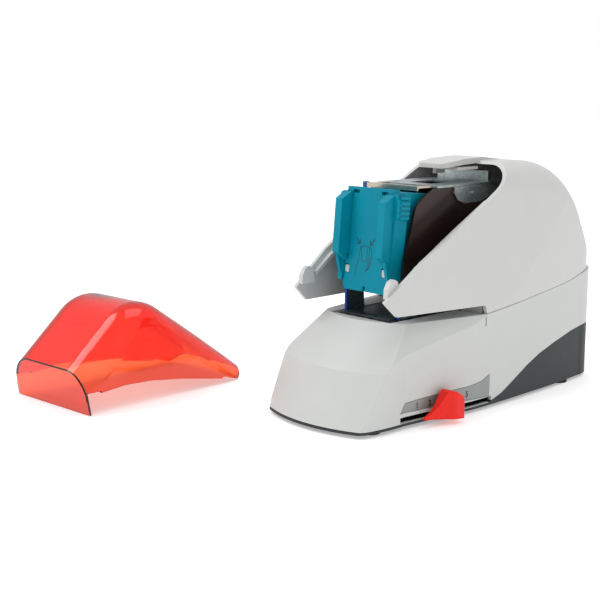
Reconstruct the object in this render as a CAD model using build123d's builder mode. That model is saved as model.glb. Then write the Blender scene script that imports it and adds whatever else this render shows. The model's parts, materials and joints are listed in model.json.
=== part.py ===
from build123d import *
import math
import os

# Electric cassette stapler, lid off and lying beside it.  Millimetres, +Z up,
# nose toward -Y, origin on the table under the middle of the machine.

os.makedirs("parts", exist_ok=True)

# ---- driving dimensions ----
WALL = 3.0                    # housing wall
TRAY_WALL = 2.6
GAP = 0.3                     # clearance at every housing seam
TRAY_BOTTOM = 2.8
TRAY_FLOOR = 4.2
LIP_TOP = 4.6
DECK_Z = 75.0                 # top of the base in the throat
THROAT_END = -10.0
NOSE_AXIS_Y = -30.0           # the nose is turned about this upright axis
PIVOT_Y, PIVOT_Z = 67.0, 92.0
PIVOT_R = 4.0
HEAD_TILT = 5.3               # head raised by this much at rest
CRANK_Y, GEAR_Z = 8.0, 45.0
ECCENTRIC = 2.7
ECC_R = 9.0
KNOB_Y = -60.0
COVER_PITCH = 37.2
COVER_YAW = 3.6
COVER_LEG = (-104.0, 83.0)    # leg end of the lid when fitted, Y and Z
COVER_SPOT = (-178.5, -248.0, 0.5)
COVER_HALF = 47.6

# ---- plan outlines, right half, front to rear, arcs through every third point ----
BASE_PLAN = [(0, -148.6), (20, -147.2), (34, -144.4), (44.6, -140.2), (50.6, -132.5),
             (52.6, -120), (53.2, -95), (56.2, -58), (58.8, -26), (58.6, 4), (56.7, 45),
             (54.0, 90), (50, 127), (45.4, 143.6), (34, 152.8), (17, 156.4), (0, 157.2)]
UPPER_PLAN = [(0, -135), (20, -134), (36, -130), (44.5, -124), (47.6, -115), (49.4, -100),
              (52, -72), (55.2, -40), (58.0, -8), (57.6, 20), (55.9, 55), (53.3, 96),
              (49.2, 128), (44.2, 141.6), (33, 150), (16.5, 153.6), (0, 154.4)]
NOSE = [(118.2, 0), (117.4, 4), (102.4, 41), (101, 44.2), (98.6, 47.4), (66.6, 75.0)]
REAR = [(143.5, 0), (149, 8), (157.3, 46), (156.8, 52), (150.4, 100)]
SIDE_LEAN = math.tan(math.radians(3.3))
LEAN = (math.cos(math.radians(3.3)), math.sin(math.radians(3.3)))
INSERT = [(-170, LIP_TOP), (-6, LIP_TOP), (11, 9.5), (28, 17.5), (45, 25.6), (62, 32.4),
          (83, 38), (110, 43.6), (135, 46.6), (175, 48)]
SEAM = [(THROAT_END + 1, 75.0), (38, 79.6), (72, 83.4), (107, 87.2), (139, 93.4),
        (175, 98)]
LEAN_HEAD = (math.cos(math.radians(HEAD_TILT)), math.sin(math.radians(HEAD_TILT)))
CHEEK_TIP = (-112.0, 95.0)
CHEEK_EDGE = [CHEEK_TIP, (-77, 121), (-35, 145), (8, 168)]
HEAD_PLANE = Plane(
    origin=(0, -84.7, 95),
    x_dir=(1, 0, 0),
    z_dir=(0, -math.cos(math.radians(HEAD_TILT)), math.sin(math.radians(HEAD_TILT))),
)


def shrink(points, inset):
    """Move a right-half outline inward by the inset, along its own normal."""
    moved = []
    for i, (x, y) in enumerate(points):
        x0, y0 = points[max(i - 1, 0)]
        x1, y1 = points[min(i + 1, len(points) - 1)]
        length = math.hypot(x1 - x0, y1 - y0)
        nx, ny = -(y1 - y0) / length, (x1 - x0) / length
        moved.append((x + nx * inset, y + ny * inset))
    moved[0] = (0, points[0][1] + inset)
    moved[-1] = (0, points[-1][1] - inset)
    return moved


def prism(points, inset, z0, z1):
    """Mirrored plan outline of arcs, extruded between two heights."""
    half = shrink(points, inset)
    with BuildPart() as body:
        with BuildSketch(Plane.XY.offset(z0)):
            with BuildLine():
                for i in range(0, len(half) - 2, 2):
                    ThreePointArc(half[i], half[i + 1], half[i + 2])
                    left = [(-x, y) for x, y in half[i:i + 3]]
                    ThreePointArc(left[0], left[1], left[2])
            make_face()
        extrude(amount=z1 - z0)
    return body.part


def nose_body(inset):
    """Nose turned about its upright axis, with the leaning rear added on."""
    with BuildPart() as turned:
        with BuildSketch(Plane.YZ):
            with BuildLine():
                rim = [(NOSE_AXIS_Y - r + inset * (1.0 if z < 60 else 1.35), z - (
                    inset if z > 60 else 0)) for r, z in NOSE]
                Polyline((NOSE_AXIS_Y, 0), *rim, (NOSE_AXIS_Y, rim[-1][1]), close=True)
            make_face()
        revolve(axis=Axis((0, NOSE_AXIS_Y, 0), (0, 0, 1)))
    rear = [(y - inset, z) for y, z in REAR]
    top = DECK_Z - inset
    rear_side = [(NOSE_AXIS_Y, 0)] + rear + [(THROAT_END + 1 - inset * 1.4, 100)]
    rear_side += [(THROAT_END + 1 - inset * 1.4, top), (NOSE_AXIS_Y, top)]
    return turned.part + side_slab(rear_side, -80, 80)


def side_slab(points, x_from, x_to):
    """Polygon in Y and Z, extruded from one X to another."""
    with BuildPart() as slab:
        with BuildSketch(Plane.YZ.offset(x_from)):
            with BuildLine():
                Polyline(*points, close=True)
            make_face()
        extrude(amount=x_to - x_from)
    return slab.part


def box_at(x0, x1, y0, y1, z0, z1):
    """Plain box between two corners."""
    with BuildPart() as block:
        with Locations(((x0 + x1) / 2, (y0 + y1) / 2, (z0 + z1) / 2)):
            Box(x1 - x0, y1 - y0, z1 - z0)
    return block.part


def rod_x(y, z, radius, x0, x1):
    """Cylinder along X between two stations."""
    with BuildPart() as rod:
        with BuildSketch(Plane.YZ.offset(x0)):
            with Locations((y, z)):
                Circle(radius)
        extrude(amount=x1 - x0)
    return rod.part


def rod_z(x, y, radius, z0, z1):
    """Cylinder along Z between two heights."""
    with BuildPart() as rod:
        with Locations((x, y, (z0 + z1) / 2)):
            Cylinder(radius, z1 - z0)
    return rod.part


def mirrored(solid):
    """The same solid on the other side of the machine."""
    return mirror(solid, about=Plane.YZ)


def half_space(origin, normal):
    """Big block on the outer side of a plane."""
    with BuildPart() as block:
        with BuildSketch(Plane(origin=origin, z_dir=normal)):
            Rectangle(500, 500)
        extrude(amount=60)
    return block.part


def save(solid, label):
    """Name a piece and write its STEP file."""
    pieces = solid.solids()
    out = pieces[0] if len(pieces) == 1 else Compound(children=list(pieces))
    out.label = label
    export_step(out, f"parts/{label}.step")
    print(label, len(pieces), round(sum(s.volume for s in pieces) / 1000, 2), "cm3",
          flush=True)


# ================= housings =================
def base_body(inset):
    """Outer form of the base: plan prism, turned nose, crease planes."""
    body = prism(BASE_PLAN, inset, 0, 100) & nose_body(inset)
    span = Vector(55.2, -125, 43) - Vector(58.6, -8, 75)
    across = Vector(40.5, -89, 75) - Vector(58.6, -8, 75)
    normal = span.cross(across).normalized()
    if normal.X < 0:
        normal = normal * -1
    origin = Vector(58.6, -8, 75) - normal * inset
    cut = half_space(origin, normal) & box_at(10, 90, -150, THROAT_END + 3, 20, 90)
    body -= cut
    body -= mirrored(cut)
    return body


outer = base_body(0)
inner = base_body(WALL)
below_insert = side_slab(INSERT + [(175, TRAY_BOTTOM), (-170, TRAY_BOTTOM)], -80, 80)
above_insert = side_slab(
    [(y, z + GAP) for y, z in INSERT] + [(175, 130), (-170, 130)], -80, 80
)

# bottom tray: dark floor, lip and the swept rear insert
tray = outer & below_insert
tray -= prism(BASE_PLAN, TRAY_WALL, TRAY_FLOOR, 60) & side_slab(
    [(-146, 0), (-140, 60), (152, 60), (146.2, 10), (140.5, 0)], -80, 80)
cuts = Part()
bosses = Part()
for side in (1, -1):
    cuts += rod_z(side * 40, -118, 2.0, 0, 5)
    cuts += rod_z(side * 44, 106, 2.0, 0, 5)
    for y in (-104, 20, 124):
        bosses += rod_z(side * 42, y, 4.4, TRAY_FLOOR, 14)
        cuts += rod_z(side * 42, y, 1.7, 0, 15)
        cuts += rod_z(side * 42, y, 3.5, 0, 4.6)
for i in range(7):
    cuts += box_at(-18, 18, 60 + 9 * i, 63 + 9 * i, 0, 8)
cuts += box_at(14.2, 41.2, 130, 170, 12.2, 31.8)      # power inlet window
cuts += box_at(-33.6, -18.4, 130, 170, 15.2, 29.2)    # switch window
tray = (tray + bosses) - cuts
save(tray, "bottom_tray")

feet = rod_z(40, -118, 8, 0, TRAY_BOTTOM) + rod_z(40, -118, 1.8, 2, 4.1)
feet += rod_z(44, 106, 8, 0, TRAY_BOTTOM) + rod_z(44, 106, 1.8, 2, 4.1)
feet += mirrored(feet)
save(feet, "rubber_feet")

# base housing: light shell with the nose, the deck opening and the side slot
base_side = [(-170, 0), (-170, DECK_Z), (THROAT_END + 1, DECK_Z)]
base_side += [(y, z - GAP / 2) for y, z in SEAM[1:]] + [(175, 0)]
base = (outer & above_insert) & side_slab(base_side, -80, 80)
base -= inner
holes = box_at(-31.5, 31.5, -88.6, THROAT_END, 60, 90)           # deck opening
holes += box_at(50, 70, -100, -2, 5.2, 9.6)                      # slider slot
for side in (1, -1):
    holes += box_at(side * 57 - 3, side * 57 + 3, -11.6, -10.2, 66, 73.4)
inlay_shape = [(-100.5, 12.6), (-95, 19.9), (-82, 20.9), (-54, 21.9), (-30, 22.1),
               (-15, 23.8), (-4.6, 27.9), (-4.6, 9.6), (-5.5, 9.9), (-60, 12.2)]
holes += side_slab(inlay_shape, 40, 70) - prism(BASE_PLAN, 1.5, 0, 60)
base -= holes
save(base, "base_housing")

inlay_small = [(-100.0, 13.0), (-94.8, 19.5), (-82, 20.5), (-54, 21.5), (-30, 21.7),
               (-15, 23.4), (-5.0, 27.3), (-5.0, 10.2), (-5.6, 10.3), (-60, 12.6)]
inlay = (side_slab(inlay_small, 40, 70) & prism(BASE_PLAN, 0.0, 0, 60)) - prism(
    BASE_PLAN, 1.2, 0, 60)
save(inlay, "scale_inlay")


def dome(inset, corner):
    """Upper form from its side profile, leaning sides and rounded shoulders."""
    with BuildPart() as body:
        with BuildSketch(Plane.YZ.offset(-70)):
            with BuildLine():
                rear = Line((164.7 - inset, 60), (128.5 - inset * 0.9, 142 - inset * 0.4))
                shoulder = TangentArc(rear @ 1, (62, 187.5 - inset), tangent=rear % 1)
                top = TangentArc(shoulder @ 1, (-10, 187.8 - inset), tangent=shoulder % 1)
                Polyline(top @ 1, (-140, 187.8 - inset), (-140, 60), rear @ 0)
            make_face()
        extrude(amount=140)
    form = body.part
    lean = half_space((57.9 - inset, 0, 78), (LEAN[0], 0, LEAN[1]))
    form = form - lean - mirrored(lean)
    crest = form.edges().filter_by(
        lambda e: e.center().Z > 80 and abs(e.center().X) > 40 and e.length > 20
        and abs((e @ 0).Y - (e @ 1).Y) > 5 and e.center().Y > -100 and e.center().Z < 188
        and not (abs((e @ 0).Z - 60) < 0.1 and abs((e @ 1).Z - 60) < 0.1))
    return form.fillet(corner, crest)


def ring_side(x0, x1):
    """Side silhouette of the upper housing between two stations."""
    with BuildPart() as slab:
        with BuildSketch(Plane.YZ.offset(x0)):
            with BuildLine():
                Polyline(*CHEEK_EDGE)
                rim = TangentArc((8, 168), (29.5, 188), tangent=(0.88, 0.47))
                Polyline(
                    rim @ 1, (33, 230), (180, 230), (180, 98.3), (139, 93.55),
                    (107, 87.35), (72, 83.55), (38, 79.75), (THROAT_END + 1.2, 75.3),
                    (THROAT_END - 0.6, 82.0), (-100, 83.5), CHEEK_TIP,
                )
            make_face()
        extrude(amount=x1 - x0)
    return slab.part


# upper housing: two cheeks running back into the dome, ring rim and tongue
upper_outer = prism(UPPER_PLAN, 0, 70, 195) & dome(0, 24)
upper_inner = prism(UPPER_PLAN, WALL, 60, 205) & dome(WALL, 21)
# inner ribs below the cheek edges and catch tabs near the tips
rib = side_slab(
    [(-92, 105.2), (-77, 116.4), (-35, 140.2), (2, 160), (2, 157), (-35, 137.2),
     (-77, 113.4), (-92, 102.2)], 43.6, 54)
tab = side_slab(
    [(-108, 97), (-107.6, 104), (-104.6, 109), (-101, 110.6), (-97.6, 109), (-95.4, 104),
     (-94.4, 97)], 42.4, 46.6)
upper = (upper_outer & ring_side(-80, 80)) - (upper_inner - rib - mirrored(rib))
upper += tab
upper += mirrored(tab)
tongue_side = [(-12, 183.4), (-12, 186.6), (-8, 187.6), (10, 189.6), (34, 190.6),
               (56, 188), (56, 185.2), (34, 186.2), (10, 185.2)]
with BuildPart() as tongue_plan:
    with BuildSketch(Plane.XY.offset(180)):
        with Locations((0, 24)):
            RectangleRounded(30, 72, 6)
    extrude(amount=14)
upper += side_slab(tongue_side, -15, 15) & tongue_plan.part
save(upper, "upper_housing")

paper_stop = box_at(31.8, 52.5, THROAT_END + 1.6, THROAT_END + 3.2, 70, 90)
paper_stop = paper_stop + mirrored(paper_stop)
save(paper_stop, "paper_stop")

latch = box_at(-9, 17, 2, 26, 181.4, 183.6) + box_at(-9, -6, 2, 13, 178, 183.6)
latch = latch & box_at(-20, 20, -10, 40, 170, 184)
save(latch, "cover_latch")

# ================= feed-in at the rear =================
inlet = box_at(14.4, 41.0, 131, 149.4, 12.4, 31.6)
inlet -= box_at(17.4, 38.0, 140, 160, 15.4, 28.6)
inlet += box_at(22, 23.6, 139, 147, 19, 25) + box_at(31.6, 33.2, 139, 147, 19, 25)
inlet = inlet & outer
save(inlet, "power_inlet")
with BuildPart() as rocker:
    with BuildSketch(Plane.YZ.offset(-33.2)):
        with BuildLine():
            Polyline((139, 17.6), (149.4, 17.4), (147.4, 22), (150.2, 26.6), (139, 26.4),
                     close=True)
        make_face()
    extrude(amount=14.4)
rocker_pins = rod_x(141, 22, 1.5, -33.9, -18.1)
save(rocker.part + rocker_pins, "power_rocker")

# ================= stapling-force slider =================
with BuildPart() as knob:
    with BuildSketch(Plane.YZ.offset(59.8)):
        with BuildLine():
            Polyline((-82, 6.2), (-82, 7.8), (-76, 10.5), (-70.5, 15.2), (-66, 21.5),
                     (-63.2, 25.4), (-60.5, 26.2), (-57, 25), (-49.6, 20.2), (-48.6, 18.6),
                     (-48, 3.4), close=True)
        make_face()
    extrude(amount=11)
knob_solid = knob.part
with BuildPart() as knob_taper:
    with BuildSketch(Plane.XY.offset(0)):
        with BuildLine():
            Polyline((59, -84), (61.0, -82.6), (63.4, -74), (66.6, -65), (70.0, -59.4),
                     (70.6, -57), (70.6, -49), (70, -47.4), (59, -47.4), close=True)
        make_face()
    extrude(amount=30)
knob_solid = knob_solid & knob_taper.part
save(knob_solid, "force_knob")
carriage = box_at(49.4, 59.8, -66, -54, 6.0, 8.8)
carriage += box_at(46.0, 49.4, -67, -53, 5.0, 13.4)
save(carriage, "slider_carriage")
pot = box_at(39.6, 45.6, -98, -8, TRAY_FLOOR, 14.6)
pot -= box_at(43.4, 46, -95, -11, 6.2, 12.6)
save(pot, "slide_potentiometer")

# ================= frame =================
frame_base = box_at(-34.4, 34.4, -92, 138, TRAY_FLOOR, 6.2)
for y in (-60, -30, 30, 86):
    frame_base -= rod_z(0, y, 8, 0, 10)
save(frame_base, "chassis_base")
side_profile = [(-8, 6.4), (-8, 58), (24, 74), (46, 108), (56, 112), (78, 112),
                (88, 108), (118, 60), (118, 6.4)]
for label, side in (("chassis_side_left", -1), ("chassis_side_right", 1)):
    plate = side_slab(side_profile, 34.5, 36.5)
    plate += box_at(30, 34.5, 100, 112, 6.4, 8.0)
    plate -= rod_x(PIVOT_Y, PIVOT_Z, 6.05, 30, 40)
    plate -= rod_x(CRANK_Y, GEAR_Z, 4.06, 30, 40)
    plate -= rod_x(68, GEAR_Z, 6.0, 30, 40)
    plate -= rod_x(94, 24, 8, 30, 40)
    plate -= rod_x(26, 22, 7, 30, 40)
    for y, z in ((96, 70), (0, 14)):
        plate -= rod_x(y, z, 2.02, 30, 40)
    if side == -1:
        plate = mirrored(plate)
    if side == 1:
        plate += rod_x(44.1, GEAR_Z, 3.0, 36.0, 49.4) + rod_x(44.1, GEAR_Z, 4.6, 36, 38.8)
    save(plate, label)
spacers = rod_x(96, 70, 4, -34.5, 34.5) + rod_x(0, 14, 4, -34.5, 34.5)
spacers += rod_x(96, 70, 2, -37.5, 37.5) + rod_x(0, 14, 2, -37.5, 37.5)
save(spacers, "frame_spacers")
shaft = rod_x(PIVOT_Y, PIVOT_Z, PIVOT_R, -41, 41)
for side in (1, -1):
    groove = rod_x(PIVOT_Y, PIVOT_Z, 5, 38.8, 39.6) - rod_x(PIVOT_Y, PIVOT_Z, 3.2, 38, 40)
    shaft -= groove if side == 1 else mirrored(groove)
save(shaft, "pivot_shaft")
bush = rod_x(PIVOT_Y, PIVOT_Z, 6.0, 34.2, 38.5) + rod_x(PIVOT_Y, PIVOT_Z, 7.5, 36.6, 38.5)
bush -= rod_x(PIVOT_Y, PIVOT_Z, PIVOT_R + 0.03, 30, 42)
save(bush + mirrored(bush), "pivot_bushes")
clip = rod_x(PIVOT_Y, PIVOT_Z, 6.6, 38.85, 39.55) - rod_x(PIVOT_Y, PIVOT_Z, 3.3, 38, 41)
clip -= box_at(38, 41, PIVOT_Y - 2.2, PIVOT_Y + 2.2, PIVOT_Z - 8, PIVOT_Z)
save(clip + mirrored(clip), "retaining_clips")
screws = Part()
for side in (1, -1):
    for y in (-104, 20, 124):
        screws += rod_z(side * 42, y, 3.2, 3.0, 4.5) + rod_z(side * 42, y, 1.5, 4.5, 13.5)
save(screws, "housing_screws")

# ================= anvil and clincher =================
tower = box_at(-23, 23, -82, -15, 6.2, 73.4) - box_at(-20, 20, -79, -18, 6, 74)
tower -= box_at(-24, 24, -70, -28, 14, 46)
tower += box_at(-20, 20, -82, -72, 60, 73.4)
tower -= box_at(-11.8, 11.8, -82.2, -73, 59, 74)
tower += rod_x(-77, 66, 0.6, -23, 23) & box_at(-23, 23, -83, -72, 60, 73)
tower -= rod_x(-77, 66, 3, -23, 23)
tower -= box_at(-3.2, 3.2, -19, -14, 62, 74)
save(tower, "anvil_tower")
deck = box_at(-24.4, 24.4, -83, -13, 73.4, 75.8)
deck += box_at(-24.4, 24.4, -84.4, -82.1, 71.5, 75.2)
deck -= box_at(-9.4, 9.4, -80.6, -75.4, 70, 80)
deck -= box_at(-3.2, 3.2, -24.6, -14.6, 70, 80)
save(deck, "deck_plate")
corner = box_at(24.6, 30.6, -88.4, -78, 72.2, 73.8) + box_at(27.4, 30.6, -88.4, -84, 70, 73.8)
corner = corner + box_at(-30.6, -24.6, -88.4, -78, 72.2, 73.8)
corner += box_at(24.6, 30.2, -20, -13, 72.2, 73.8) + box_at(-30.2, -24.6, -20, -13, 72.2, 73.8)
save(corner, "deck_corner_tabs")
link = box_at(-24, 24.2, -87.6, -85.2, 72.4, 74.6)
for x in (-20, -8, 4, 16):
    link += box_at(x, x + 4.4, -88.4, -84.8, 72.0, 75.4)
link += rod_z(-22, -86.4, 1.5, 70, 75.8) + rod_z(22.4, -86.4, 1.5, 70, 75.8)
save(link, "clinch_link_bar")
side_link = box_at(28.9, 30.6, -56, -24, 72.6, 74.4) + box_at(28.6, 30.9, -54, -49, 72.2, 75.2)
side_link += box_at(28.6, 30.9, -38, -34, 72.2, 75.2)
save(side_link, "clinch_side_link")
wing = box_at(1.0, 8.8, -79.8, -76.2, 66.8, 69.4) + box_at(6.2, 8.8, -79.8, -76.2, 63, 69.4)
wing -= box_at(0, 4.6, -81, -75, 66.0, 67.6)
with BuildPart() as wing_hub:
    with Locations(Plane.XZ.offset(76.2)):
        with Locations((7.5, 64)):
            Cylinder(1.25, 3.6, align=(Align.CENTER, Align.CENTER, Align.MIN))
wing += wing_hub.part
save(wing, "clinch_wing_right")
save(mirrored(wing), "clinch_wing_left")
sensor = side_slab([(-23.8, 61), (-20.6, 61), (-19.6, 76), (-19.2, 80.5), (-21.8, 80.5),
                    (-22.6, 76)], -1.4, 1.4)
sensor += rod_x(-22.2, 60, 3.2, -1.4, 1.4)
sensor -= rod_x(-22.2, 60, 1.05, -4, 4)
save(sensor, "paper_sensor_lever")
micro = box_at(4.0, 10.4, -34.2, -23.2, 50, 62) + rod_x(-22.2, 60, 1.0, -5.2, 4.0)
micro += box_at(4.0, 10.4, -24.2, -20.2, 57.5, 62)
save(micro, "paper_sensor_switch")

# ================= head =================
head_profile = [(-74.6, 96), (-73.4, 119), (-67.4, 138), (-61.6, 158), (-51, 166.5),
                (-41, 170.4), (-17, 170.8), (33, 170.8), (58, 152), (80, 108), (82, 90),
                (74, 80), (60, 80), (44, 92), (20, 96), (-20, 98), (-50, 96)]
yoke = [(-11, 100), (-11, 34), (27, 34), (27, 100)]
window = [(CRANK_Y - 14.6, 47.7 - 9.8), (CRANK_Y + 14.0, 47.7 - 9.8),
          (CRANK_Y + 14.0, 47.7 + 9.8), (CRANK_Y - 14.6, 47.7 + 9.8)]
for label, side in (("head_side_left", -1), ("head_side_right", 1)):
    plate = side_slab(head_profile, 28.6, 30.6) + side_slab(yoke, 28.6, 30.6)
    plate -= side_slab(window, 20, 40)
    plate -= rod_x(PIVOT_Y, PIVOT_Z, PIVOT_R + 0.04, 20, 40)
    if side == -1:
        plate = mirrored(plate)
    save(plate, label)
leg = side_slab([(-73.6, 73.4), (-73.6, 104), (-58, 104), (-57.4, 89), (-56.4, 73.4),
                 (-60.4, 73.4), (-60.8, 75.6), (-68, 75.6), (-68.6, 73.4)], 26.1, 28.6)
save(leg + mirrored(leg), "guide_legs")
strip = side_slab([(-76.2, 75.2), (-76.2, 93), (-73.6, 93), (-73.6, 75.2)], 26.4, 28.4)
save(strip + mirrored(strip), "leg_strips")
top_plate = box_at(-30.6, 30.6, -38, 33, 170.8, 172.4)
top_plate -= box_at(-10, 12, -24, 4, 160, 180)
top_plate -= rod_z(-22, -26, 2.2, 160, 180)
top_plate -= rod_z(22, -14, 2.2, 160, 180)
save(top_plate, "head_top_plate")
bracket = side_slab([(-20, 170.6), (-20, 166), (-15.6, 160.6), (-8, 157.6), (11, 158.2),
                     (33, 165), (33, 170.6)], 30.7, 32.3)
bracket -= rod_x(2, 165, 1.6, 20, 40)
bracket += rod_x(2, 165, 1.6, 30.7, 33.4)
bracket = bracket + mirrored(bracket)
save(bracket, "head_brackets")
cross = box_at(-26, 26, 27.6, 32.4, 172.4, 180.2)
for x in (-21, 21):
    cross -= rod_z(x, 30, 1.4, 170, 184)
save(cross, "cross_block")
bar = box_at(-25.5, 27, -56.5, -53.6, 171.4, 173.2) + box_at(-25.5, 27, -56.5, -55.3, 169.6, 173.2)
bar += box_at(20, 27, -53.6, -38.0, 171.4, 172.6) + box_at(-25, -19, -53.6, -38.0, 171.4, 172.6)
save(bar, "latch_bar")
save(box_at(-28.6, -25.5, -57, -53.2, 169.2, 173.6), "latch_bar_cap")
rear_cross = rod_x(48, 128, 3, -28.6, 28.6) + rod_x(-4, 108, 3, -28.6, 28.6)
save(rear_cross, "head_spacers")
spring_parts = Part()
for side in (1, -1):
    for i in range(9):
        spring_parts += rod_z(side * 15, 40, 5, 66 + 4 * i, 68.4 + 4 * i) - rod_z(
            side * 15, 40, 3.6, 60, 110)
    spring_parts += rod_z(side * 15, 44.3, 0.7, 66, 100.4)
save(spring_parts, "return_springs")

# cassette, drawn on its own leaning plane (local Y = up the plate, Z = forward)
with BuildPart() as face_plate:
    with BuildSketch(HEAD_PLANE.offset(-6)):
        with BuildLine():
            Polyline((-21, -1), (21, -1), (23.6, 6), (24, 20), (25, 40), (25, 73.6),
                     (23.7, 74.4), (23.7, 77), (-23.7, 77), (-23.7, 74.4), (-25, 73.6),
                     (-25, 40), (-24, 20), (-23.6, 6), close=True)
        make_face()
    extrude(amount=6)
    with BuildSketch(HEAD_PLANE.offset(-3)):
        with Locations((-14.7, 73.6), (14.7, 73.6)):
            Rectangle(6.4, 2.6)
        with Locations((0, 0.6)):
            Rectangle(2.6, 4.6)
    extrude(amount=10, mode=Mode.SUBTRACT)
    with BuildSketch(HEAD_PLANE.offset(-3)):
        with Locations((-19, 15), (19, 15)):
            Rectangle(4.6, 7)
    extrude(amount=10, mode=Mode.SUBTRACT)
save(face_plate.part, "cassette_front")
with BuildPart() as insets:
    with BuildSketch(HEAD_PLANE.offset(-3)):
        with Locations((-19, 14.6), (19, 14.6)):
            RectangleRounded(4.2, 5.6, 1.2)
    extrude(amount=2.6)
save(insets.part, "cassette_windows")
grip_outline = [(22.4, 6), (21.6, 24), (18, 27), (18, 73.2), (26.4, 73.6), (29.0, 72.2),
                (29.9, 69), (29.9, 56.5), (28.3, 54.5), (28.1, 44), (27.1, 26), (26.4, 6)]
grip_flank = [(24.9, 10), (25.6, 26), (26.3, 42), (26.3, 70.4), (29.2, 70.4), (29.9, 69),
              (29.9, 56.5), (28.3, 54.5), (28.1, 44), (27.1, 26), (26.5, 10)]


def grip(side):
    """One squeeze grip: tall ridge on the front and ribbed flank behind it."""
    with BuildPart() as wing_part:
        with BuildSketch(HEAD_PLANE.offset(0.3)):
            with BuildLine():
                Polyline(*[(side * x, y) for x, y in grip_outline], close=True)
            make_face()
        extrude(amount=1.6)
        with BuildSketch(HEAD_PLANE.offset(1.9)):
            with BuildLine():
                Polyline(*[(side * x, y) for x, y in
                           [(18.1, 21.5), (18.1, 73), (26.3, 73), (26.3, 21.5)]], close=True)
            make_face()
        with BuildSketch(HEAD_PLANE.offset(10.6)):
            with BuildLine():
                Polyline(*[(side * x, y) for x, y in
                           [(18.9, 27), (18.9, 67.4), (25.7, 67.4), (25.7, 27)]], close=True)
            make_face()
        loft(ruled=True)
        with BuildSketch(HEAD_PLANE.offset(-11)):
            with BuildLine():
                Polyline(*[(side * x, y) for x, y in grip_flank], close=True)
            make_face()
        extrude(amount=11.3)
    up, out = Vector(0, LEAN_HEAD[1], LEAN_HEAD[0]), HEAD_PLANE.z_dir
    corners = [(7, 1.0), (24, 1.0), (24, 6.6)]
    wedge_points = [HEAD_PLANE.origin + up * y + out * o for y, o in corners]
    wedge = side_slab([(p.Y, p.Z) for p in wedge_points], *sorted((side * 23.2, side * 26.0)))
    ribs = Part()
    for i in range(5):
        with BuildPart() as rib_part:
            with BuildSketch(HEAD_PLANE.offset(-10.4)):
                with Locations((side * 29.6, 56.8 + 3.6 * i)):
                    Rectangle(2.8, 1.7)
            extrude(amount=9.4)
        ribs += rib_part.part
    return wing_part.part + wedge + ribs


save(grip(1), "cassette_grip_right")
save(grip(-1), "cassette_grip_left")
with BuildPart() as magazine:
    with BuildSketch(HEAD_PLANE.offset(-46)):
        with BuildLine():
            Polyline((-19.4, 1), (19.4, 1), (23.6, 10), (23.8, 75), (-23.8, 75), (-23.6, 10),
                     close=True)
        make_face()
    extrude(amount=40)
    with BuildSketch(HEAD_PLANE.offset(-44)):
        with Locations((0, 40)):
            Rectangle(43, 60)
    extrude(amount=38, mode=Mode.SUBTRACT)
    with BuildSketch(HEAD_PLANE.offset(-12)):
        with Locations((-11.2, 5), (11.2, 5)):
            Rectangle(7, 12)
    extrude(amount=6, mode=Mode.SUBTRACT)
for side in (1, -1):
    with BuildPart() as flank:
        with BuildSketch(HEAD_PLANE.offset(-10)):
            with BuildLine():
                Polyline(*[(side * x, y) for x, y in
                           [(23.5, 30), (23.5, 70), (24.9, 66), (24.9, 47),
                            (24.3, 36)]], close=True)
            make_face()
        extrude(amount=4)
    magazine_solid = (magazine.part if side == 1 else magazine_solid) + flank.part
save(magazine_solid, "cassette_body")
with BuildPart() as strip_stack:
    with BuildSketch(HEAD_PLANE.offset(-43.6)):
        with Locations((0, 38)):
            Rectangle(15, 54)
    extrude(amount=36)
save(strip_stack.part, "staple_stack")
with BuildPart() as blade:
    with BuildSketch(HEAD_PLANE.offset(-52)):
        with Locations((0, 40)):
            Rectangle(14, 60)
    extrude(amount=2)
    with BuildSketch(HEAD_PLANE.offset(-60)):
        with Locations((0, 66)):
            Rectangle(20, 6)
    extrude(amount=8)
save(blade.part, "driver_blade")


# ================= drive =================
def gear(teeth, module, x0, x1, y, z, phase, bore):
    """Spur gear about an X-parallel axis, straight-flanked teeth with backlash."""
    pitch_r = teeth * module / 2
    root, tip = pitch_r - 1.15 * module, pitch_r + 0.8 * module
    step = 2 * math.pi / teeth
    outline = []
    for i in range(teeth):
        centre = i * step + phase
        for radius, offset in ((root, -0.29), (tip, -0.13), (tip, 0.13), (root, 0.29)):
            angle = centre + offset * step
            outline.append((y + radius * math.cos(angle), z + radius * math.sin(angle)))
    wheel = side_slab(outline, x0, x1)
    return wheel - rod_x(y, z, bore, x0 - 1, x1 + 1)


crank = rod_x(CRANK_Y, GEAR_Z, 4.0, -37.4, 46)
save(crank, "crank_shaft")
ecc = rod_x(CRANK_Y, GEAR_Z + ECCENTRIC, ECC_R, 27.6, 31.6)
ecc += rod_x(CRANK_Y, GEAR_Z, 6.5, 31.6, 34.2)
ecc -= rod_x(CRANK_Y, GEAR_Z, 4.0, 20, 40)
save(ecc + mirrored(ecc), "eccentrics")
main_gear = gear(36, 1.5, 39, 45, CRANK_Y, GEAR_Z, 0.0, 4.0)
for i in range(5):
    angle = 2 * math.pi * i / 5 + 0.3
    main_gear -= rod_x(CRANK_Y + 15 * math.cos(angle), GEAR_Z + 15 * math.sin(angle), 4.4,
                       38, 46)
save(main_gear, "crank_gear")
idler = gear(12, 1.5, 39, 45.4, 44.1, GEAR_Z, math.pi / 12, 3.05)
idler += gear(30, 1.25, 45.4, 48.6, 44.1, GEAR_Z, 0.0, 3.05)
save(idler, "idler_gear")
pinion = gear(10, 1.25, 45.6, 49.4, 69.2, GEAR_Z, math.pi / 10, 1.9)
pinion += rod_x(69.2, GEAR_Z, 2.0, 24, 49.8)
save(pinion, "motor_pinion")
can = rod_x(69.2, GEAR_Z, 18, -26, 32) + rod_x(69.2, GEAR_Z, 6.0, 32, 34.2)
can -= rod_x(69.2, GEAR_Z, 2.1, 20, 40)
save(can, "motor")
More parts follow.
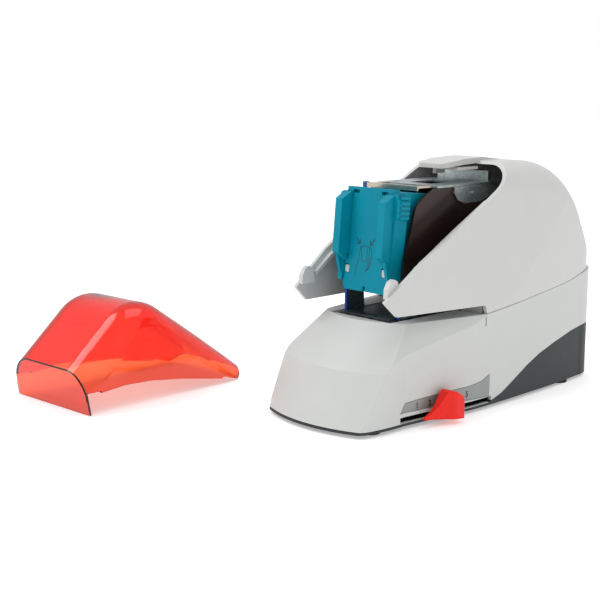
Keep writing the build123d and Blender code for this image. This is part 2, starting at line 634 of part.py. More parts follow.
cradle = box_at(-16, 16, 52, 86, 6.2, 32) - rod_x(69.2, GEAR_Z, 18.0, -30, 30)
cradle -= box_at(-12, 12, 50, 90, 10, 24)
save(cradle, "motor_cradle")
core = box_at(-24, 24, 98, 132, 6.2, 9) + box_at(-20, 20, 100, 126, 9, 44)
core -= box_at(-12, 12, 99, 127, 17, 36)
save(core, "transformer_core")
coil = box_at(-11.8, 11.8, 95, 130, 17.2, 35.8)
save(coil, "transformer_coil")
board = box_at(-47, -45.4, -2, 84, 16, 68)
save(board, "control_board")
standoffs = Part()
for y, z in ((4, 22), (78, 22), (30, 62), (78, 62)):
    standoffs += rod_x(y, z, 2.6, -45.4, -36.5)
save(standoffs, "board_standoffs")
parts_group = rod_x(20, 40, 6, -51.4, -47) + rod_x(36, 40, 6, -51.4, -47)
parts_group += box_at(-50, -47, 50, 64, 30, 44) + box_at(-49, -47, 8, 18, 54, 62)
parts_group += box_at(-51, -47, 70, 80, 24, 60)
save(parts_group, "board_components")

# ================= transparent lid, lying beside the machine =================
def lid(inset, radius):
    """Solid under the lid's skin: side profile across X with rounded shoulders."""
    with BuildPart() as block:
        with BuildSketch(Plane.YZ.offset(-COVER_HALF + inset)):
            with BuildLine():
                n1 = Vector(0.981, -0.193)
                start = Vector(-128.7, 105.7) + n1 * inset
                bend = Vector(-118.4, 158.0) + n1 * inset
                front = Line(start, bend)
                shoulder = TangentArc(bend, (-84.6, 187.4 - inset), tangent=(0.193, 0.981))
                top = TangentArc(shoulder @ 1, (20.5, 191 - inset), tangent=shoulder % 1)
                Polyline(top @ 1, (17, 100), (-104, 83), front @ 0)
            make_face()
        extrude(amount=2 * (COVER_HALF - inset))
        crest = block.edges().filter_by(
            lambda e: abs(abs(e.center().X) - COVER_HALF + inset) < 0.01
            and (e.geom_type == GeomType.CIRCLE or abs(e.length - 53.3) < 1.2)
        )
        fillet(crest, radius)
    return block.part


lid_outer = lid(0.0, 21.0)
lid_inner = lid(2.3, 18.7)
skirt = side_slab(
    [(-140, 70), (-104, 83), (-102.8, 83.9), (-111.1, 91.5), (-112.4, 90.4), (-116.8, 94.9),
     (-105.3, 103.7), (-104.2, 102.6), (-87.7, 117.5), (-67.6, 131.6), (-40.2, 147.2),
     (1.8, 168.5), (1.9, 170.4), (18.2, 176.7), (20.7, 183.3), (20.5, 200), (-40, 230),
     (-180, 230), (-180, 70)], -60, 60)
lid_solid = (lid_outer & skirt) - lid_inner
chin_cut = side_slab([(-104, 83), (-128.9, 105.9), (-127.3, 107.7), (-102.4, 84.8)], -60, 60)
lid_solid += (lid_outer & chin_cut) & box_at(-46.4, 46.4, -140, -90, 60, 130)
lid_solid = lid_solid.moved(Location((0, -COVER_LEG[0], -COVER_LEG[1])))
lid_solid = lid_solid.rotate(Axis.X, -COVER_PITCH)
lid_solid = lid_solid.rotate(Axis.Z, COVER_YAW)
lid_solid = lid_solid.moved(Location(COVER_SPOT))
save(lid_solid, "transparent_cover")
print("lid", lid_solid.bounding_box())
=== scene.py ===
"""Looks of the electric stapler: finishes, fine detail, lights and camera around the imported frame."""

import json
import logging
import math
from dataclasses import dataclass, field
from enum import Enum

import bmesh
import bpy
from mathutils import Matrix, Vector

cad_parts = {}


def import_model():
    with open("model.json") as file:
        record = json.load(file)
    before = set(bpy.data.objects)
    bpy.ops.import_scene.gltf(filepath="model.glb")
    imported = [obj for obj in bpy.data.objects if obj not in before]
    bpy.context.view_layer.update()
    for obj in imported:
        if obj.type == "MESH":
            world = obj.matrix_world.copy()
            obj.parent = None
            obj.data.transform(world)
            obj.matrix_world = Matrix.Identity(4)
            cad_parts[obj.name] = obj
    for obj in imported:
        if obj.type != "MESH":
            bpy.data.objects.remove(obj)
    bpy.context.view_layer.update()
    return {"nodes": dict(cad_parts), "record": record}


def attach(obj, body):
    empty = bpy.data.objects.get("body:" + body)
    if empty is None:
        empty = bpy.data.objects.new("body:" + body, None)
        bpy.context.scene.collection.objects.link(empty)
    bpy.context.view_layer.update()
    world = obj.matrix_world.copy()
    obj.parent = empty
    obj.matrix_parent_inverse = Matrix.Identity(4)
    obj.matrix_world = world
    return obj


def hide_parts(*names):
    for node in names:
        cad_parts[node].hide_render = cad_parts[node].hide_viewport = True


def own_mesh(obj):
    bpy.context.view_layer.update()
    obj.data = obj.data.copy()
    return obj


LOG = logging.getLogger("stapler")
MM = 0.001
# Relief height that a bump strength of one stands for, in metres.
BUMP_DISTANCE = 0.0004
COAT_ROUGHNESS = 0.12
# Part of the slow drift that is spread over the whole change of colour, and of roughness.
COLOUR_DRIFT = (0.3, 0.7)
ROUGHNESS_DRIFT = (0.25, 0.75)
# Least share of the main colour, and how far the roughness drifts down and up.
MAIN_COLOUR_SHARE = 0.15
ROUGHNESS_DOWN, ROUGHNESS_UP = 0.05, 0.06
# How far a brushed grain is drawn out along its length.
BRUSH_STRETCH = 0.06


class Grain(Enum):
    """How a surface was left by its making."""

    SPARK = "spark eroded mould texture"
    POLISHED = "polished mould"
    BRUSHED = "drawn or brushed sheet"
    SPANGLE = "hot dip zinc spangle"
    LACQUER = "dipped lacquer"
    CLEAR = "clear tinted"


def linear(code: str) -> tuple[float, float, float, float]:
    """Turn an sRGB hex colour into linear light.

    Args:
        code: Colour as "#rrggbb".

    Returns:
        Linear red, green, blue and an alpha of one.
    """
    parts = [int(code[i : i + 2], 16) / 255 for i in (1, 3, 5)]
    out = [c / 12.92 if c <= 0.04045 else ((c + 0.055) / 1.055) ** 2.4 for c in parts]
    return (out[0], out[1], out[2], 1.0)


def add_node(
    tree: bpy.types.NodeTree,
    kind: str,
    settings: dict[str, object] | None = None,
    links: dict[str, bpy.types.NodeSocket] | None = None,
) -> bpy.types.Node:
    """Add one shader node.

    Args:
        tree: Node tree that gets the node.
        kind: Node type name.
        settings: Property or input values by name.
        links: Sockets to feed into the node's inputs by input name.

    Returns:
        The new node.
    """
    node = tree.nodes.new(kind)
    for name, value in (settings or {}).items():
        if name in node.inputs and not name.islower():
            node.inputs[name].default_value = value
        else:
            setattr(node, name, value)
    for name, socket in (links or {}).items():
        tree.links.new(socket, node.inputs[name])
    return node


@dataclass(frozen=True)
class Finish:
    """One real material and how its surface was made.

    Depth is how strongly the inside absorbs light, per metre, and depth_tint what it lets through.
    """

    name: str
    colour: str
    colour_low: str
    grain: Grain
    roughness: float
    metallic: float = 0.0
    ior: float = 1.5
    coat: float = 0.0
    grain_mm: float = 0.5
    bump: float = 0.25
    transmission: float = 0.0
    spread_mm: float = 30.0
    specular: float = 0.5
    depth: float = 0.0
    depth_tint: tuple[float, float, float] = (1.0, 1.0, 1.0)

    def build(self) -> bpy.types.Material:
        """Make the Blender material.

        Returns:
            A node material with colour drift, roughness drift and fine relief.
        """
        material = bpy.data.materials.new(self.name)
        material.use_nodes = True
        tree = material.node_tree
        shader = tree.nodes["Principled BSDF"]
        shader.inputs["Metallic"].default_value = self.metallic
        shader.inputs["IOR"].default_value = self.ior
        shader.inputs["Coat Weight"].default_value = self.coat
        shader.inputs["Coat Roughness"].default_value = COAT_ROUGHNESS
        shader.inputs["Transmission Weight"].default_value = self.transmission
        shader.inputs["Specular IOR Level"].default_value = self.specular
        if self.depth > 0:
            inside = add_node(
                tree,
                "ShaderNodeVolumeAbsorption",
                {"Color": (*self.depth_tint, 1.0), "Density": self.depth},
            )
            tree.links.new(inside.outputs["Volume"], tree.nodes["Material Output"].inputs["Volume"])
        place = add_node(tree, "ShaderNodeTexCoord")
        drift = add_node(
            tree,
            "ShaderNodeTexNoise",
            {"Scale": 1000 / self.spread_mm, "Detail": 3.0, "Roughness": 0.55},
            {"Vector": place.outputs["Object"]},
        )
        fine = self._fine(tree, place.outputs["Object"])
        tint = add_node(
            tree,
            "ShaderNodeMix",
            {"data_type": "RGBA"},
        )
        tint.inputs[6].default_value = linear(self.colour_low)
        tint.inputs[7].default_value = linear(self.colour)
        ramp = add_node(
            tree,
            "ShaderNodeMapRange",
            {
                "From Min": COLOUR_DRIFT[0],
                "From Max": COLOUR_DRIFT[1],
                "To Min": MAIN_COLOUR_SHARE,
                "To Max": 1.0,
            },
            {"Value": fine if self.grain is Grain.SPANGLE else drift.outputs["Fac"]},
        )
        tree.links.new(ramp.outputs["Result"], tint.inputs[0])
        tree.links.new(tint.outputs[2], shader.inputs["Base Color"])
        rough = add_node(
            tree,
            "ShaderNodeMapRange",
            {
                "From Min": ROUGHNESS_DRIFT[0],
                "From Max": ROUGHNESS_DRIFT[1],
                "To Min": max(0.0, self.roughness - ROUGHNESS_DOWN),
                "To Max": min(1.0, self.roughness + ROUGHNESS_UP),
            },
            {"Value": drift.outputs["Fac"]},
        )
        tree.links.new(rough.outputs["Result"], shader.inputs["Roughness"])
        if self.bump > 0:
            relief = add_node(
                tree,
                "ShaderNodeBump",
                {"Strength": self.bump, "Distance": BUMP_DISTANCE},
                {"Height": fine},
            )
            tree.links.new(relief.outputs["Normal"], shader.inputs["Normal"])
        return material

    def _fine(
        self, tree: bpy.types.NodeTree, place: bpy.types.NodeSocket
    ) -> bpy.types.NodeSocket:
        """Fine relief of the surface.

        Args:
            tree: Node tree of the material.
            place: Object coordinates in metres.

        Returns:
            Height socket, from zero to one.
        """
        if self.grain is Grain.SPANGLE:
            cells = add_node(
                tree,
                "ShaderNodeTexVoronoi",
                {"Scale": 1000 / self.grain_mm, "Randomness": 1.0},
                {"Vector": place},
            )
            return add_node(
                tree, "ShaderNodeSeparateColor", None, {"Color": cells.outputs["Color"]}
            ).outputs["Red"]
        if self.grain is Grain.BRUSHED:
            stretch = add_node(
                tree,
                "ShaderNodeMapping",
                {"Scale": (BRUSH_STRETCH, 1.0, 1.0)},
                {"Vector": place},
            )
            place = stretch.outputs["Vector"]
        return add_node(
            tree,
            "ShaderNodeTexNoise",
            {"Scale": 1000 / self.grain_mm, "Detail": 2.0, "Roughness": 0.6},
            {"Vector": place},
        ).outputs["Fac"]


# Moulded ABS, light grey: spark-eroded tool gives a fine matt pebble that softens highlights.
LIGHT_GREY_ABS = Finish(
    "light_grey_abs", "#C6C8C6", "#C3C5C3", Grain.SPARK,
    0.46, ior=1.52, grain_mm=0.7, bump=0.10,
)
# Moulded ABS, white: a smoother tool, so the dome carries long soft reflections.
WHITE_ABS = Finish("white_abs", "#C8C9C7", "#C5C6C4", Grain.SPARK, 0.36, ior=1.52, grain_mm=0.6, bump=0.06)
# Moulded ABS, charcoal: satin, shows pale edges where light rakes over it.
CHARCOAL_ABS = Finish(
    "charcoal_abs", "#33373A", "#2D3134", Grain.SPARK,
    0.5, ior=1.52, grain_mm=0.8, bump=0.16, specular=0.25,
)
# Natural rubber feet: dull, dusty black.
FOOT_RUBBER = Finish(
    "foot_rubber", "#232323", "#191919", Grain.SPARK,
    0.85, ior=1.52, grain_mm=0.9, bump=0.3,
)
# Moulded ABS, teal: smooth satin moulding with faint flow marks.
TEAL_ABS = Finish(
    "teal_abs", "#00889F", "#008198", Grain.POLISHED,
    0.4, ior=1.53, grain_mm=1.2, bump=0.05, spread_mm=18, specular=0.12,
)
# Acetal, white: waxy and slightly soft.
WHITE_POM = Finish(
    "white_pom", "#BEC8CA", "#B4BEC0", Grain.POLISHED,
    0.4, ior=1.48, grain_mm=1.0, bump=0.05,
)
# Moulded ABS, signal red: a smooth knob with a soft highlight.
RED_ABS = Finish(
    "red_abs", "#EC2519", "#E31F14", Grain.POLISHED,
    0.3, ior=1.53, grain_mm=1.0, bump=0.04, spread_mm=12, specular=0.2,
)
# Printed polyester film: silver grey ink under a satin face.
INLAY_FILM = Finish(
    "inlay_film", "#8E9391", "#878C8A", Grain.BRUSHED,
    0.34, metallic=0.35, grain_mm=0.4, bump=0.05,
)
# Tinted polycarbonate: clear, hard and glossy, darkest where the wall is seen on edge.
ORANGE_PC = Finish(
    "orange_pc", "#FFF2EC", "#FFEEE6", Grain.CLEAR,
    0.04, ior=1.5, grain_mm=9, bump=0.0, transmission=1.0, specular=0.22, depth=1250.0,
    depth_tint=(0.965, 0.36, 0.0),
)
# Dipped lacquer on sheet steel: near black brown with a warm metal sheen.
BROWN_LACQUER = Finish(
    "brown_lacquer", "#33241F", "#251814", Grain.LACQUER,
    0.36, metallic=0.55, coat=0.25, grain_mm=0.8, bump=0.05, spread_mm=40,
)
# Zinc plated sheet steel: cool grey with small spangle patches.
ZINC_STEEL = Finish(
    "zinc_steel", "#AEB6B6", "#98A1A2", Grain.SPANGLE,
    0.34, metallic=1.0, grain_mm=2.6, bump=0.03,
)
# Hardened oiled steel: dark and smooth, drawn along its length.
DARK_STEEL = Finish(
    "dark_steel", "#727F83", "#5C686C", Grain.BRUSHED,
    0.36, metallic=0.9, grain_mm=0.5, bump=0.08,
)
# Nickel plated steel strip: warm and bright.
NICKEL = Finish("nickel", "#C9BEAE", "#B5AA99", Grain.BRUSHED, 0.22, metallic=1.0, grain_mm=0.35, bump=0.05)
# Sintered bronze: porous, brown gold.
BRONZE = Finish(
    "bronze", "#8A6F57", "#5E4A3A", Grain.SPARK,
    0.42, metallic=1.0, grain_mm=0.5, bump=0.2, spread_mm=5,
)
# Acetal, blue: small clips and strips.
BLUE_POM = Finish("blue_pom", "#0B44A0", "#083887", Grain.POLISHED, 0.35, ior=1.48, grain_mm=1.0, bump=0.04)
# Glass-filled polyamide, black: slightly rough from the fibres.
BLACK_PA = Finish("black_pa", "#1E2022", "#151618", Grain.SPARK, 0.5, ior=1.53, grain_mm=0.8, bump=0.15)
# Glass-epoxy laminate under green solder mask.
GREEN_BOARD = Finish(
    "green_board", "#1F6B3A", "#185C31", Grain.POLISHED,
    0.3, ior=1.55, grain_mm=1.2, bump=0.1, spread_mm=6,
)
# Enamelled copper winding.
COPPER_COIL = Finish(
    "copper_coil", "#B5652F", "#8F4A20", Grain.BRUSHED,
    0.3, metallic=1.0, grain_mm=0.4, bump=0.4,
)
# Zinc coated staple wire, glued side by side.
STAPLE_WIRE = Finish(
    "staple_wire", "#B9BDBE", "#8F9596", Grain.BRUSHED,
    0.28, metallic=1.0, grain_mm=0.5, bump=0.5,
)
# Screen print: dense black ink, satin.
BLACK_INK = Finish("black_ink", "#0B1416", "#06100F", Grain.POLISHED, 0.4, grain_mm=0.5, bump=0.02)

FINISHES = (
    LIGHT_GREY_ABS, WHITE_ABS, CHARCOAL_ABS, FOOT_RUBBER, TEAL_ABS, WHITE_POM, RED_ABS, INLAY_FILM,
    ORANGE_PC, BROWN_LACQUER, ZINC_STEEL, DARK_STEEL, NICKEL, BRONZE, BLUE_POM, BLACK_PA,
    GREEN_BOARD, COPPER_COIL, STAPLE_WIRE, BLACK_INK,
)


@dataclass
class Palette:
    """The built materials, by finish name."""

    built: dict[str, bpy.types.Material] = field(default_factory=dict)

    def get(self, name: str) -> bpy.types.Material:
        """Return the material of that finish, built on first use."""
        if name not in self.built:
            finish = next(f for f in FINISHES if f.name == name)
            self.built[name] = finish.build()
        return self.built[name]


def new_piece(
    name: str, mesh: bpy.types.Mesh, material: bpy.types.Material, body: str
) -> bpy.types.Object:
    """Put a finished mesh into the scene as a piece of the object.

    Args:
        name: Piece name.
        mesh: Its mesh, in metres in the row frame.
        material: Its material.
        body: CAD body that it rides on.

    Returns:
        The new object.
    """
    piece = bpy.data.objects.new(name, mesh)
    bpy.context.scene.collection.objects.link(piece)
    mesh.materials.clear()
    mesh.materials.append(material)
    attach(piece, body)
    LOG.info("%s rides on %s", name, body)
    return piece


def soften(obj: bpy.types.Object, width_mm: float, angle: float = 32.0) -> None:
    """Round the sharp edges of a CAD node a little and smooth its shading.

    Args:
        obj: Node or piece.
        width_mm: Bevel width.
        angle: Edges sharper than this many degrees are rounded.
    """
    for polygon in obj.data.polygons:
        polygon.use_smooth = True
    if width_mm > 0:
        bevel = obj.modifiers.new("edge_radius", "BEVEL")
        bevel.width = width_mm * MM
        bevel.segments = 2
        bevel.limit_method = "ANGLE"
        bevel.angle_limit = math.radians(angle)
        bevel.harden_normals = False
        bevel.use_clamp_overlap = True
    normals = obj.modifiers.new("shading", "WEIGHTED_NORMAL")
    normals.keep_sharp = True
    normals.weight = 60


# Edge radius of the nodes whose edges are seen, in millimetres.
EDGE_MM = {
    "base_housing": 0.8, "upper_housing": 0.9, "bottom_tray": 0.5, "force_knob": 0.8,
    "cassette_front": 0.5, "cassette_grip_left": 0.7, "cassette_grip_right": 0.7,
    "transparent_cover": 0.3, "head_brackets": 0.3, "latch_bar": 0.3, "cover_latch": 0.4,
}


@dataclass
class FrameDressing:
    """Gives every carried-over CAD node its finish and its edge radius."""

    palette: Palette
    nodes: dict[str, bpy.types.Object]
    record: dict[str, object]
    edge_mm: dict[str, float] = field(default_factory=dict)

    def dress(self) -> None:
        """Assign the finishes by the record's material slots."""
        slots = {s["node"]: s["material_slot"] for s in self.record["subparts"]}
        for name, obj in self.nodes.items():
            material = self.palette.get(slots[name])
            if not obj.data.materials:
                obj.data.materials.append(material)
            for i in range(len(obj.data.materials)):
                obj.data.materials[i] = material
            soften(obj, self.edge_mm.get(name, 0.0))
            LOG.info("%s is %s", name, slots[name])


HEAD_TILT = math.radians(5.3)
HEAD_ORIGIN = Vector((0.0, -84.7, 95.0)) * MM
HEAD_UP = Vector((0.0, math.sin(HEAD_TILT), math.cos(HEAD_TILT)))
HEAD_OUT = Vector((0.0, -math.cos(HEAD_TILT), math.sin(HEAD_TILT)))


def on_cassette(x: float, up: float, out: float) -> Vector:
    """Place a point on the leaning cassette plate.

    Args:
        x: Millimetres across, to the machine's right.
        up: Millimetres up the plate.
        out: Millimetres in front of the plate.

    Returns:
        The point in metres in the row frame.
    """
    return HEAD_ORIGIN + Vector((x * MM, 0, 0)) + HEAD_UP * up * MM + HEAD_OUT * out * MM


def stroke(
    mesh: bmesh.types.BMesh, points: list[tuple[float, float]], width: float, height: float
) -> None:
    """Draw one inked line as a thin raised band on the cassette plate.

    Args:
        mesh: Mesh that gets the band.
        points: Line on the plate, in millimetres.
        width: Line width in millimetres.
        height: Thickness of the ink in millimetres.
    """
    rows = []
    for i, (x, y) in enumerate(points):
        before, after = points[max(i - 1, 0)], points[min(i + 1, len(points) - 1)]
        run = Vector((after[0] - before[0], after[1] - before[1])).normalized()
        side = Vector((-run.y, run.x)) * width / 2
        corners = [(x + side.x, y + side.y), (x - side.x, y - side.y)]
        rows.append(
            [mesh.verts.new(on_cassette(a, b, h)) for a, b in corners for h in (0.0, height)]
        )
    for left, right in zip(rows, rows[1:]):
        for a, b in ((1, 3), (3, 2), (2, 0), (0, 1)):
            mesh.faces.new((left[a], left[b], right[b], right[a]))
    for end in (rows[0], rows[-1]):
        mesh.faces.new((end[0], end[1], end[3], end[2]))


def smooth_line(points: list[tuple[float, float]], steps: int = 6) -> list[tuple[float, float]]:
    """Run a smooth line through a few points.

    Args:
        points: Points on the plate, in millimetres.
        steps: Points per span.

    Returns:
        The finer line.
    """
    line = []
    for i in range(len(points) - 1):
        p0 = Vector(points[max(i - 1, 0)])
        p1, p2 = Vector(points[i]), Vector(points[i + 1])
        p3 = Vector(points[min(i + 2, len(points) - 1)])
        for k in range(steps):
            t = k / steps
            spot = 0.5 * (
                2 * p1
                + (p2 - p0) * t
                + (2 * p0 - 5 * p1 + 4 * p2 - p3) * t * t
                + (3 * p1 - p0 - 3 * p2 + p3) * t * t * t
            )
            line.append((spot.x, spot.y))
    line.append(points[-1])
    return line


@dataclass
class SqueezeHint:
    """Printed hint on the cassette: two arrows and a thumb and finger closing on a block."""

    palette: Palette
    line_mm: float = 0.42
    arrow_mm: float = 0.75
    ink_mm: float = 0.05
    centre_x: float = -1.6
    arrow_tail: tuple[float, float] = (9.6, 39.0)
    arrow_tip: tuple[float, float] = (5.2, 34.8)
    barb: tuple[float, float] = (3.3, 3.1)

    def build(self) -> None:
        """Build the print and put it on the cassette."""
        mesh = bmesh.new()
        block = [(-5.2, 31.6), (-3.2, 33.4), (2.0, 32.9), (3.4, 31.0), (2.9, 24.4),
                 (-2.0, 21.2), (-4.6, 22.6), (-5.2, 31.6)]
        stroke(mesh, block, self.line_mm, self.ink_mm)
        stroke(mesh, [(0.9, 31.6), (1.0, 24.6)], self.line_mm, self.ink_mm)
        curves = (
            [(-5.4, 33.4), (-6.6, 29.0), (-7.4, 22.0), (-9.6, 15.0), (-10.0, 9.4)],
            [(2.6, 34.0), (5.2, 30.6), (5.6, 24.8), (4.0, 18.6), (0.6, 13.6)],
            [(1.2, 21.2), (3.2, 22.6), (4.8, 25.0)],
            [(0.6, 18.2), (2.8, 19.6), (4.6, 21.8)],
            [(0.4, 15.2), (2.4, 16.6), (3.8, 18.6)],
        )
        for curve in curves:
            stroke(mesh, smooth_line(curve), self.line_mm, self.ink_mm)
        for side in (-1, 1):
            tail = (side * self.arrow_tail[0] + self.centre_x, self.arrow_tail[1])
            tip = (side * self.arrow_tip[0] + self.centre_x, self.arrow_tip[1])
            across = (tip[0] + side * self.barb[0], tip[1])
            above = (tip[0], tip[1] + self.barb[1])
            stroke(mesh, [tail, tip], self.arrow_mm, self.ink_mm)
            stroke(mesh, [across, tip, above], self.arrow_mm, self.ink_mm)
        bmesh.ops.recalc_face_normals(mesh, faces=mesh.faces)
        data = bpy.data.meshes.new("squeeze_hint")
        mesh.to_mesh(data)
        mesh.free()
        new_piece(
            "squeeze_hint", data, self.palette.get("black_ink"), "cassette"
        )


@dataclass
class ForceScale:
    """Numbers and ticks of the stapling-force scale on the side inlay."""

    palette: Palette
    inlay: bpy.types.Object
    first_y: float = -84.5
    pitch_y: float = 12.9
    base_z: float = 14.2
    height_mm: float = 4.6
    ink_mm: float = 0.05
    steps: int = 5
    size_to_height: float = 1.35
    weight_mm: float = 0.16
    tick_shift_mm: float = 1.2
    tick_width_mm: float = 0.5
    tick_z: tuple[float, float] = (12.0, 13.3)
    search_x_mm: float = 90.0
    face_x_mm: float = 58.5

    def build(self) -> None:
        """Lay the numbers on the inlay's outer face."""
        mesh = bmesh.new()
        for i in range(self.steps):
            y = self.first_y + i * self.pitch_y
            self._number(mesh, str(i + 1), y)
            self._tick(mesh, y + self.tick_shift_mm)
        data = bpy.data.meshes.new("force_scale")
        mesh.to_mesh(data)
        mesh.free()
        new_piece("force_scale", data, self.palette.get("black_ink"), "machine")

    def _on_face(self, y: float, z: float, lift: float) -> Vector:
        """Put a point on the inlay's outer face.

        Args:
            y: Millimetres along the machine.
            z: Millimetres up.
            lift: Millimetres off the face.

        Returns:
            The point in metres.
        """
        start = Vector((self.search_x_mm * MM, y * MM, z * MM))
        hit, place, normal, _ = self.inlay.ray_cast(start, Vector((-1, 0, 0)))
        if not hit:
            place = Vector((self.face_x_mm * MM, y * MM, z * MM))
            normal = Vector((1, 0, 0))
        return place + normal * lift * MM

    def _number(self, mesh: bmesh.types.BMesh, text: str, y: float) -> None:
        """Add one number.

        Args:
            mesh: Mesh that gets it.
            text: The number.
            y: Where it starts, in millimetres along the machine.
        """
        curve = bpy.data.curves.new("number", "FONT")
        curve.body = text
        curve.size = self.height_mm * self.size_to_height
        curve.offset = self.weight_mm
        holder = bpy.data.objects.new("number", curve)
        flat = bpy.data.meshes.new_from_object(holder)
        places = [
            self._on_face(y + v.co.x, self.base_z + v.co.y, self.ink_mm) for v in flat.vertices
        ]
        made = [mesh.verts.new(place) for place in places]
        for polygon in flat.polygons:
            mesh.faces.new([made[i] for i in polygon.vertices])
        bpy.data.objects.remove(holder)
        bpy.data.meshes.remove(flat)

    def _tick(self, mesh: bmesh.types.BMesh, y: float) -> None:
        """Add one short scale line beside a number.

        Args:
            mesh: Mesh that gets it.
            y: Its place along the machine in millimetres.
        """
        low, high = self.tick_z
        end = y + self.tick_width_mm
        corners = ((y, low), (end, low), (end, high), (y, high))
        mesh.faces.new([mesh.verts.new(self._on_face(a, b, self.ink_mm)) for a, b in corners])


@dataclass
class ReturnSprings:
    """Two helical springs that lift the head, with flat closed ends, in place of plain CAD ones."""

    palette: Palette
    x_mm: float = 15.0
    y_mm: float = 40.0
    bottom_mm: float = 66.0
    top_mm: float = 100.0
    radius_mm: float = 4.3
    wire_mm: float = 1.1
    turns: float = 9.0
    steps: int = 22
    ring: int = 8
    closed_share: float = 0.1
    keep: float = 0.92

    def build(self) -> None:
        """Wind the springs and hide the stand-ins."""
        mesh = bmesh.new()
        for side in (-1, 1):
            self._wind(mesh, side * self.x_mm)
        bmesh.ops.recalc_face_normals(mesh, faces=mesh.faces)
        data = bpy.data.meshes.new("return_spring_coils")
        mesh.to_mesh(data)
        mesh.free()
        for polygon in data.polygons:
            polygon.use_smooth = True
        piece = new_piece(
            "return_spring_coils", data, self.palette.get("nickel"), "machine"
        )
        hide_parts("return_springs")
        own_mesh(piece)

    def _wind(self, mesh: bmesh.types.BMesh, x_mm: float) -> None:
        """Wind one spring about its upright axis.

        Args:
            mesh: Mesh that gets it.
            x_mm: Where it stands across the machine.
        """
        count = int(self.turns * self.steps)
        half = self.wire_mm / 2
        low, high = self.bottom_mm + half, self.top_mm - half
        rings = []
        for i in range(count + 1):
            t = i / count
            rise = min(1.0, max(0.0, (t - self.closed_share) / (1 - 2 * self.closed_share)))
            z = low + (high - low) * rise
            a = 2 * math.pi * self.turns * t
            out = Vector((math.cos(a), math.sin(a), 0))
            centre = Vector((x_mm, self.y_mm, z)) + out * self.radius_mm
            ring = []
            for k in range(self.ring):
                b = 2 * math.pi * k / self.ring
                spot = centre + out * half * math.cos(b) + Vector((0, 0, half * math.sin(b)))
                ring.append(mesh.verts.new(spot * MM))
            rings.append(ring)
        for one, two in zip(rings, rings[1:]):
            for k in range(self.ring):
                n = (k + 1) % self.ring
                mesh.faces.new((one[k], one[n], two[n], two[k]))
        mesh.faces.new(rings[0])
        mesh.faces.new(rings[-1])


@dataclass(frozen=True)
class Lamp:
    """One square area light: place and edge length in metres, power in watts."""

    name: str
    place: tuple[float, float, float]
    power: float
    size: float


LAMPS = (
    Lamp("key_light", (-0.9, -0.9, 1.5), 10.0, 0.9),
    Lamp("top_light", (0.1, 0.3, 1.6), 5.0, 1.0),
)


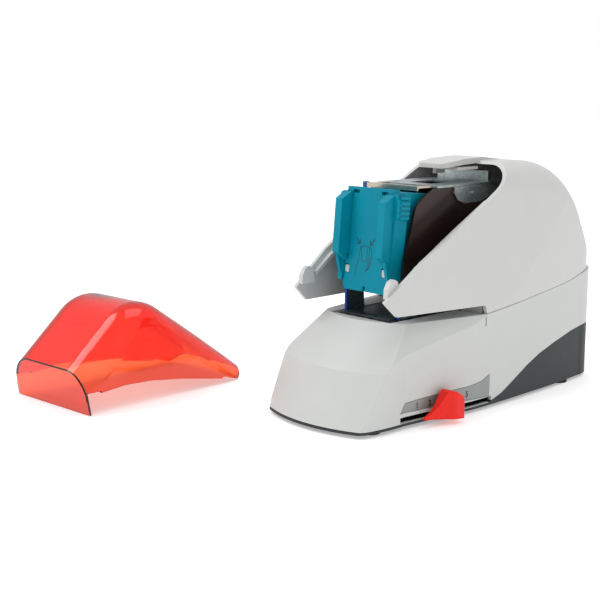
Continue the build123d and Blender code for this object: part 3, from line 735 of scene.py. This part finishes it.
@dataclass
class Studio:
    """Pale floor, soft lights and the camera."""

    azimuth: float = 47.4
    elevation: float = 10.5
    eye: tuple[float, float, float] = (0.6088, -0.7093, 0.2490)
    lens: float = 70.56
    floor_size: float = 12.0
    floor_grey: float = 0.9
    floor_roughness: float = 0.7
    floor_glow: float = 0.34
    backdrop_strength: float = 1.0
    fill_strength: float = 0.8
    aim: tuple[float, float, float] = (0.0, -0.02, 0.09)
    sensor_mm: float = 36.0
    clip_start: float = 0.01

    def build(self) -> None:
        """Make the floor, the world, the lights and the camera."""
        scene = bpy.context.scene
        scene.view_settings.view_transform = "Standard"
        self._floor()
        self._world()
        for lamp in LAMPS:
            self._light(lamp)
        self._camera()

    def _floor(self) -> None:
        """Make the pale table top."""
        mesh = bpy.data.meshes.new("floor")
        half = self.floor_size / 2
        mesh.from_pydata(
            [(-half, -half, 0), (half, -half, 0), (half, half, 0), (-half, half, 0)],
            [],
            [(0, 1, 2, 3)],
        )
        floor = bpy.data.objects.new("floor", mesh)
        bpy.context.scene.collection.objects.link(floor)
        material = bpy.data.materials.new("floor_paper")
        material.use_nodes = True
        shader = material.node_tree.nodes["Principled BSDF"]
        shader.inputs["Base Color"].default_value = (*[self.floor_grey] * 3, 1)
        shader.inputs["Roughness"].default_value = self.floor_roughness
        shader.inputs["Emission Color"].default_value = (1, 1, 1, 1)
        shader.inputs["Emission Strength"].default_value = self.floor_glow
        mesh.materials.append(material)

    def _world(self) -> None:
        """Give the world an even light, a little weaker than the white seen behind the object."""
        world = bpy.data.worlds.new("studio")
        bpy.context.scene.world = world
        world.use_nodes = True
        tree = world.node_tree
        backdrop = tree.nodes["Background"]
        backdrop.inputs["Color"].default_value = (1, 1, 1, 1)
        backdrop.inputs["Strength"].default_value = self.backdrop_strength
        fill = add_node(
            tree,
            "ShaderNodeBackground",
            {"Color": (1, 1, 1, 1), "Strength": self.fill_strength},
        )
        ray = add_node(tree, "ShaderNodeLightPath")
        mix = add_node(tree, "ShaderNodeMixShader", None, {"Fac": ray.outputs["Is Camera Ray"]})
        tree.links.new(fill.outputs["Background"], mix.inputs[1])
        tree.links.new(backdrop.outputs["Background"], mix.inputs[2])
        tree.links.new(mix.outputs["Shader"], tree.nodes["World Output"].inputs["Surface"])

    def _light(self, lamp: Lamp) -> None:
        """Add one area light aimed at the machine.

        Args:
            lamp: Its name, place, power and size.
        """
        data = bpy.data.lights.new(lamp.name, "AREA")
        data.energy = lamp.power
        data.size = lamp.size
        light = bpy.data.objects.new(lamp.name, data)
        bpy.context.scene.collection.objects.link(light)
        light.location = lamp.place
        aim = Vector(self.aim) - Vector(lamp.place)
        light.rotation_euler = aim.to_track_quat("-Z", "Y").to_euler()

    def _camera(self) -> None:
        """Set the camera at the viewing angle."""
        a, e = math.radians(self.azimuth), math.radians(self.elevation)
        back = Vector((math.sin(a) * math.cos(e), -math.cos(a) * math.cos(e), math.sin(e)))
        right = Vector((math.cos(a), math.sin(a), 0))
        up = back.cross(right)
        data = bpy.data.cameras.new("camera")
        data.lens = self.lens
        data.sensor_width = self.sensor_mm
        data.clip_start = self.clip_start
        camera = bpy.data.objects.new("camera", data)
        bpy.context.scene.collection.objects.link(camera)
        turn = Matrix((right, up, back)).transposed().to_4x4()
        camera.matrix_world = Matrix.Translation(self.eye) @ turn
        bpy.context.scene.camera = camera


def main() -> None:
    """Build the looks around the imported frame."""
    logging.basicConfig(level=logging.INFO, format="%(message)s")
    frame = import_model()
    palette = Palette()
    FrameDressing(palette, frame["nodes"], frame["record"], EDGE_MM).dress()
    SqueezeHint(palette).build()
    ForceScale(palette, frame["nodes"]["scale_inlay"]).build()
    ReturnSprings(palette).build()
    Studio().build()


if __name__ == "__main__":
    main()
